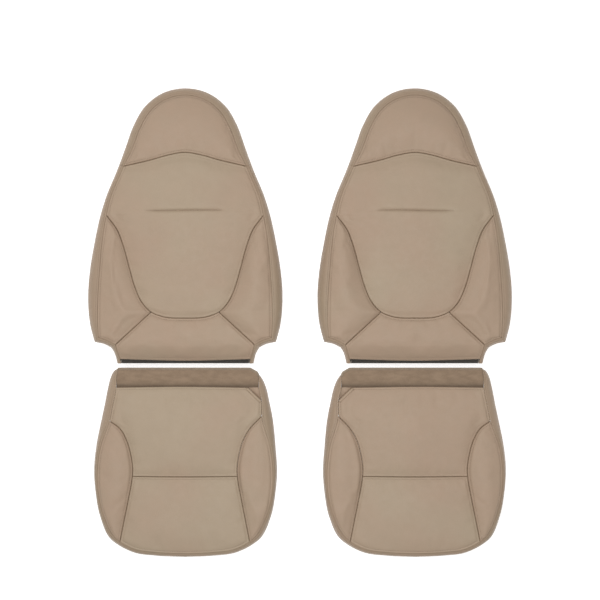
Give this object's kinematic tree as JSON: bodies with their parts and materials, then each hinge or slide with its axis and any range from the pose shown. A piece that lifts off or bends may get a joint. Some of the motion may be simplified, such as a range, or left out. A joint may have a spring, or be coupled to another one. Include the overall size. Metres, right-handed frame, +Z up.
{
  "type": "seat cover set",
  "caption": "Fitted leather covers for bucket seats, laid face up: back covers with built-in head restraint shape, and seat covers with tuck flap and belt-buckle corner.",
  "frame": {"origin": "on the surface under the covers, midway across and along the set", "axes": "+X across the set to the right-hand covers, +Y from the seat fronts to the head ends, +Z up from the surface"},
  "size_m": [1.168, 1.291, 0.0931],
  "materials": {
    "leather": "soft low-gloss tan leather on foam",
    "vinyl": "smooth tan vinyl",
    "tuck_fabric": "brushed brown fabric",
    "flap_fabric": "black woven fabric",
    "strip_plastic": "black extruded plastic",
    "sleeve_fabric": "pale non-woven fabric",
    "wire_steel": "drawn steel wire"
  },
  "bodies": {
    "left_back_cover": {"left_back_head_panel": "leather", "left_back_centre_panel": "leather", "left_back_right_bolster": "leather", "left_back_left_bolster": "leather", "left_back_apron_panel": "leather", "left_back_right_boxing": "leather", "left_back_left_boxing": "leather", "left_back_head_boxing": "leather", "left_back_rear_panel": "vinyl", "left_back_listing_sleeve": "sleeve_fabric", "left_back_listing_wire": "wire_steel", "left_back_rear_hook_strip": "strip_plastic"},
    "left_back_closing_flap_body": {"left_back_closing_flap": "flap_fabric", "left_back_flap_hook_strip": "strip_plastic"},
    "left_seat_cover": {"left_seat_centre_panel": "leather", "left_seat_front_panel": "leather", "left_seat_outer_bolster": "leather", "left_seat_inner_bolster": "leather", "left_seat_corner_gusset": "leather", "left_seat_corner_welt": "leather", "left_seat_outer_boxing": "leather", "left_seat_inner_boxing": "leather", "left_seat_front_boxing": "leather", "left_seat_outer_hook_strip": "strip_plastic", "left_seat_inner_hook_strip": "strip_plastic", "left_seat_front_hook_strip": "strip_plastic", "left_seat_listing_sleeve": "sleeve_fabric", "left_seat_listing_wire": "wire_steel"},
    "left_seat_tuck_flap_body": {"left_seat_tuck_flap": "tuck_fabric", "left_seat_tuck_hook_strip": "strip_plastic"},
    "right_back_cover": {"right_back_head_panel": "leather", "right_back_centre_panel": "leather", "right_back_right_bolster": "leather", "right_back_left_bolster": "leather", "right_back_apron_panel": "leather", "right_back_right_boxing": "leather", "right_back_left_boxing": "leather", "right_back_head_boxing": "leather", "right_back_rear_panel": "vinyl", "right_back_listing_sleeve": "sleeve_fabric", "right_back_listing_wire": "wire_steel", "right_back_rear_hook_strip": "strip_plastic"},
    "right_back_closing_flap_body": {"right_back_closing_flap": "flap_fabric", "right_back_flap_hook_strip": "strip_plastic"},
    "right_seat_cover": {"right_seat_centre_panel": "leather", "right_seat_front_panel": "leather", "right_seat_outer_bolster": "leather", "right_seat_inner_bolster": "leather", "right_seat_corner_gusset": "leather", "right_seat_corner_welt": "leather", "right_seat_outer_boxing": "leather", "right_seat_inner_boxing": "leather", "right_seat_front_boxing": "leather", "right_seat_outer_hook_strip": "strip_plastic", "right_seat_inner_hook_strip": "strip_plastic", "right_seat_front_hook_strip": "strip_plastic", "right_seat_listing_sleeve": "sleeve_fabric", "right_seat_listing_wire": "wire_steel"},
    "right_seat_tuck_flap_body": {"right_seat_tuck_flap": "tuck_fabric", "right_seat_tuck_hook_strip": "strip_plastic"}
  },
  "joints": [
    {"name": "right_back_cover_lift", "type": "slide", "parent": "left_back_cover", "child": "right_back_cover", "axis": [0, 0, 1], "range_m": [0, 0.13]},
    {"name": "left_seat_cover_lift", "type": "slide", "parent": "left_back_cover", "child": "left_seat_cover", "axis": [0, 0, 1], "range_m": [0, 0.13]},
    {"name": "right_seat_cover_lift", "type": "slide", "parent": "left_back_cover", "child": "right_seat_cover", "axis": [0, 0, 1], "range_m": [0, 0.13]},
    {"name": "left_back_closing_flap_hinge", "type": "hinge", "parent": "left_back_cover", "child": "left_back_closing_flap_body", "pos_m": [-0.316, -0.1015, 0.03928], "axis": [1, 0, 0], "range_deg": [-47, 30]},
    {"name": "left_seat_tuck_flap_hinge", "type": "hinge", "parent": "left_seat_cover", "child": "left_seat_tuck_flap_body", "pos_m": [-0.316, -0.1736, 0.06304], "axis": [1, 0, 0], "range_deg": [-60, 75]},
    {"name": "right_back_closing_flap_hinge", "type": "hinge", "parent": "right_back_cover", "child": "right_back_closing_flap_body", "pos_m": [0.316, -0.1015, 0.03928], "axis": [1, 0, 0], "range_deg": [-47, 30]},
    {"name": "right_seat_tuck_flap_hinge", "type": "hinge", "parent": "right_seat_cover", "child": "right_seat_tuck_flap_body", "pos_m": [0.316, -0.1736, 0.06304], "axis": [1, 0, 0], "range_deg": [-60, 75]}
  ]
}
